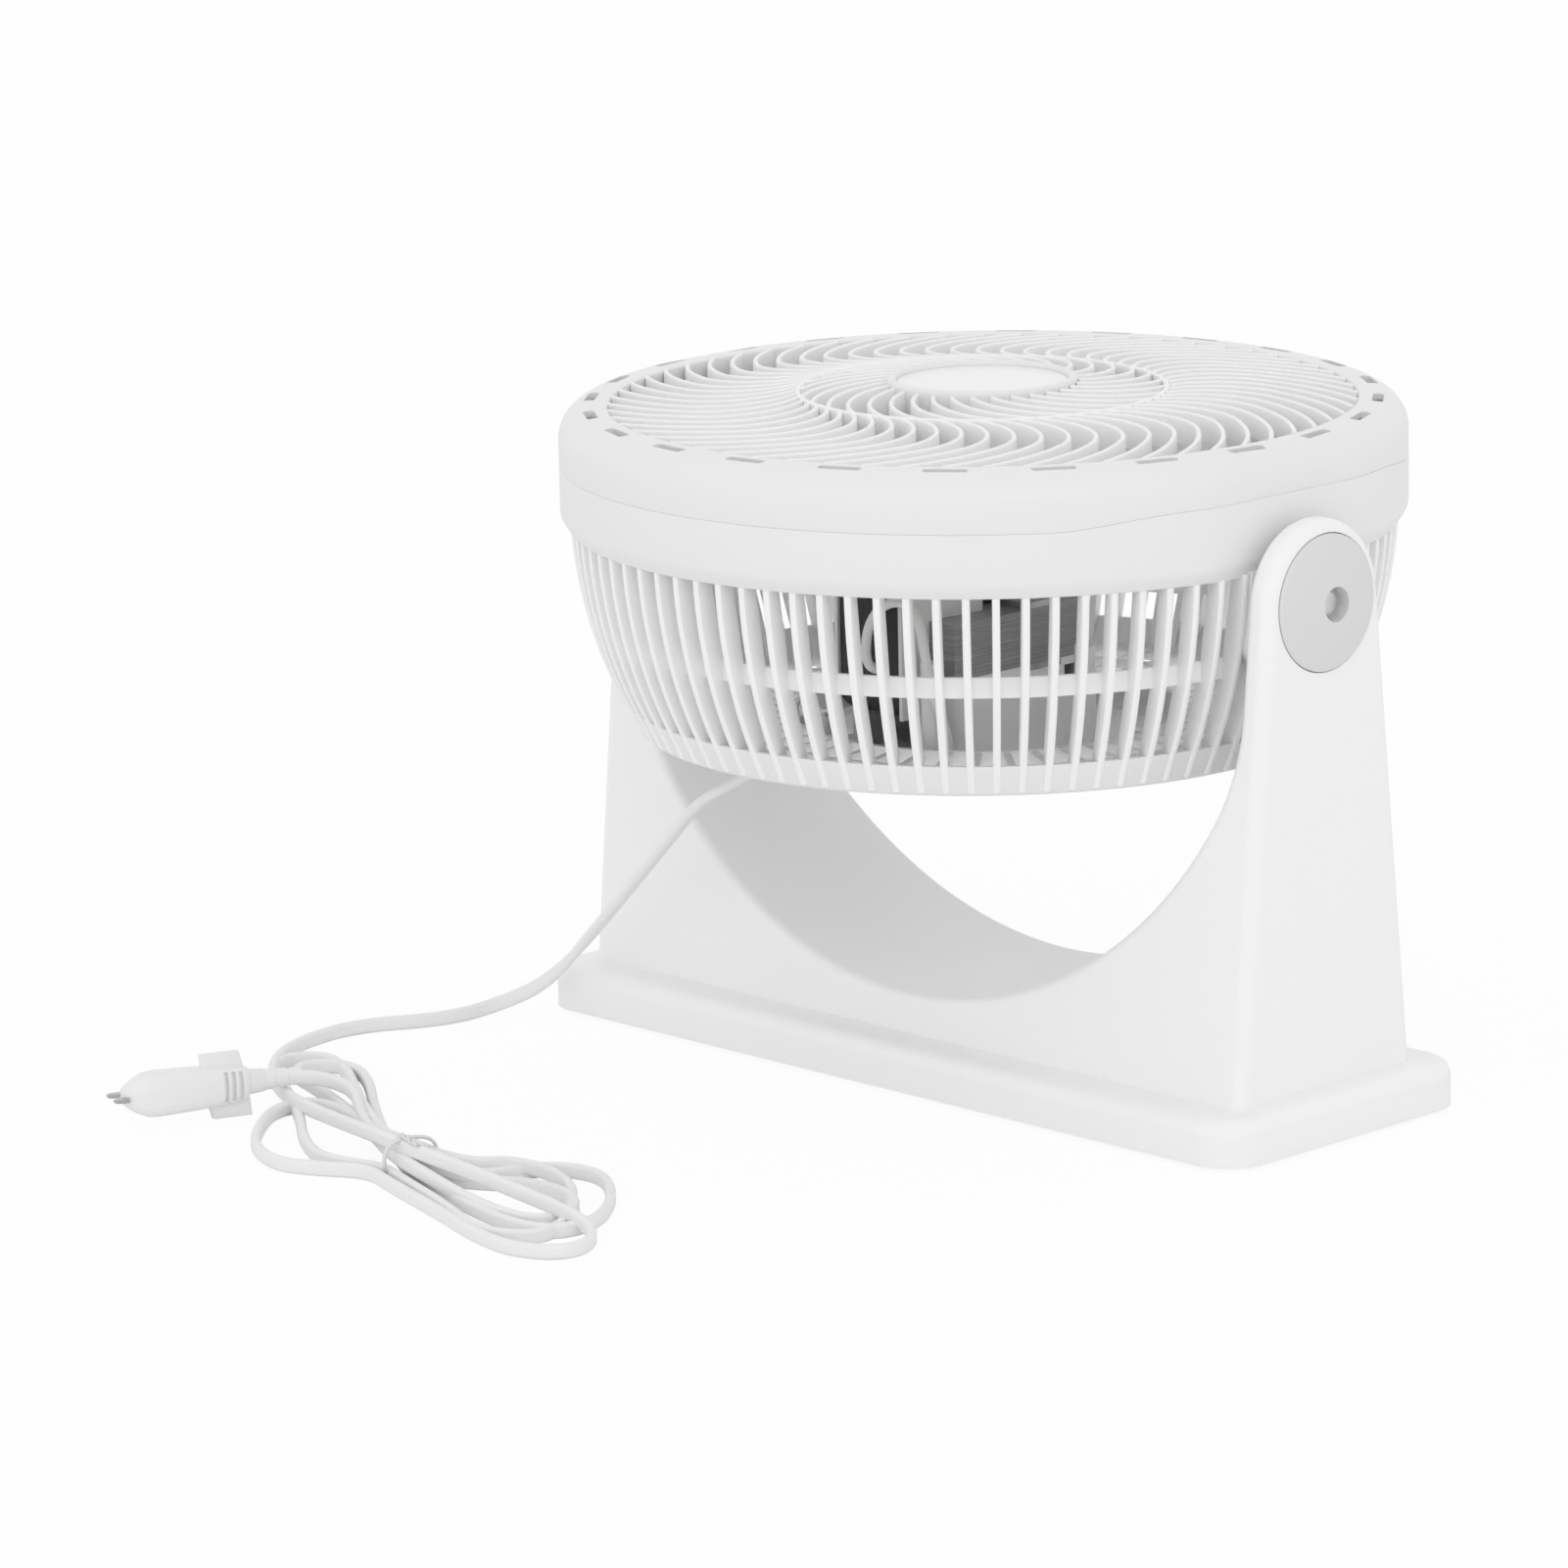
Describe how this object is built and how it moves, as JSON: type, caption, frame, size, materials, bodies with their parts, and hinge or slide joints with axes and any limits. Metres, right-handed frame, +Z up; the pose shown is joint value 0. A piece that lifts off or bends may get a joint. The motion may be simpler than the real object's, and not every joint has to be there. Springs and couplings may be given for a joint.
{
  "type": "tilting air circulator fan",
  "caption": "Round fan head with a spiral front grille, ribbed cage and open view of its motor, tilting between the arms of a U-shaped stand; cord tied beside it.",
  "frame": {"origin": "centre of the stand's footprint, on the table", "axes": "+Z up; +X along the tilt axis, between the arms; the fan faces +Z at rest and tilts towards +Y"},
  "size_m": [0.3952, 0.4707, 0.2648],
  "materials": {
    "shell_plastic": "satin moulded",
    "cap_plastic": "satin moulded",
    "badge_disc": "satin, plain",
    "blade_plastic": "satin moulded",
    "foot_rubber": "matt",
    "screw_steel": "zinc plated",
    "core_steel": "laminated sheet edges",
    "bracket_metal": "pressed",
    "bearing_metal": "sintered",
    "coil_tape": "wrapped tape",
    "bobbin_plastic": "moulded",
    "carrier_plastic": "moulded",
    "switch_plastic": "moulded",
    "sleeve_plastic": "flexible sleeve",
    "cord_vinyl": "soft satin",
    "tie_wire": "coated wire",
    "pin_metal": "polished"
  },
  "bodies": {
    "stand": {"stand_shell": "shell_plastic", "base_cover": "shell_plastic", "cover_bushes": "shell_plastic", "base_screws": "screw_steel", "rubber_feet": "foot_rubber", "cord_run": "cord_vinyl", "cord_hank": "cord_vinyl", "cord_tie": "tie_wire", "cord_tail": "cord_vinyl", "plug_body": "cord_vinyl", "plug_pins": "pin_metal"},
    "head": {"front_grille": "shell_plastic", "hub_badge": "badge_disc", "rear_shell": "shell_plastic", "friction_washers": "sleeve_plastic", "pivot_cap_right": "cap_plastic", "pivot_cap_left": "cap_plastic", "pivot_screws": "screw_steel", "motor_mount": "carrier_plastic", "mount_screws": "screw_steel", "motor_stack": "core_steel", "coil_bobbin": "bobbin_plastic", "motor_coil": "coil_tape", "front_bearing_bracket": "bracket_metal", "rear_bearing_bracket": "bracket_metal", "bearings": "bearing_metal", "motor_screws": "screw_steel", "lead_sleeve": "sleeve_plastic", "cord_clamp": "carrier_plastic", "clamp_screws": "screw_steel", "speed_switch": "switch_plastic", "cord_grip": "cord_vinyl", "cord_lead": "cord_vinyl"},
    "rotor": {"rotor_core": "core_steel", "motor_shaft": "screw_steel", "fan_blade": "blade_plastic", "blade_nut": "shell_plastic"},
    "knob": {"speed_knob": "shell_plastic"}
  },
  "joints": [
    {"name": "head_tilt", "type": "hinge", "parent": "stand", "child": "head", "pos_m": [0, 0, 0.2004], "axis": [-1, 0, 0], "range_deg": [0, 90]},
    {"name": "blade_spin", "type": "hinge", "parent": "head", "child": "rotor", "pos_m": [0, 0, 0.2004], "axis": [0, 0, 1], "continuous": true},
    {"name": "knob_turn", "type": "hinge", "parent": "head", "child": "knob", "pos_m": [0, 0, 0.12], "axis": [0, 0, -1], "range_deg": [0, 120]}
  ]
}
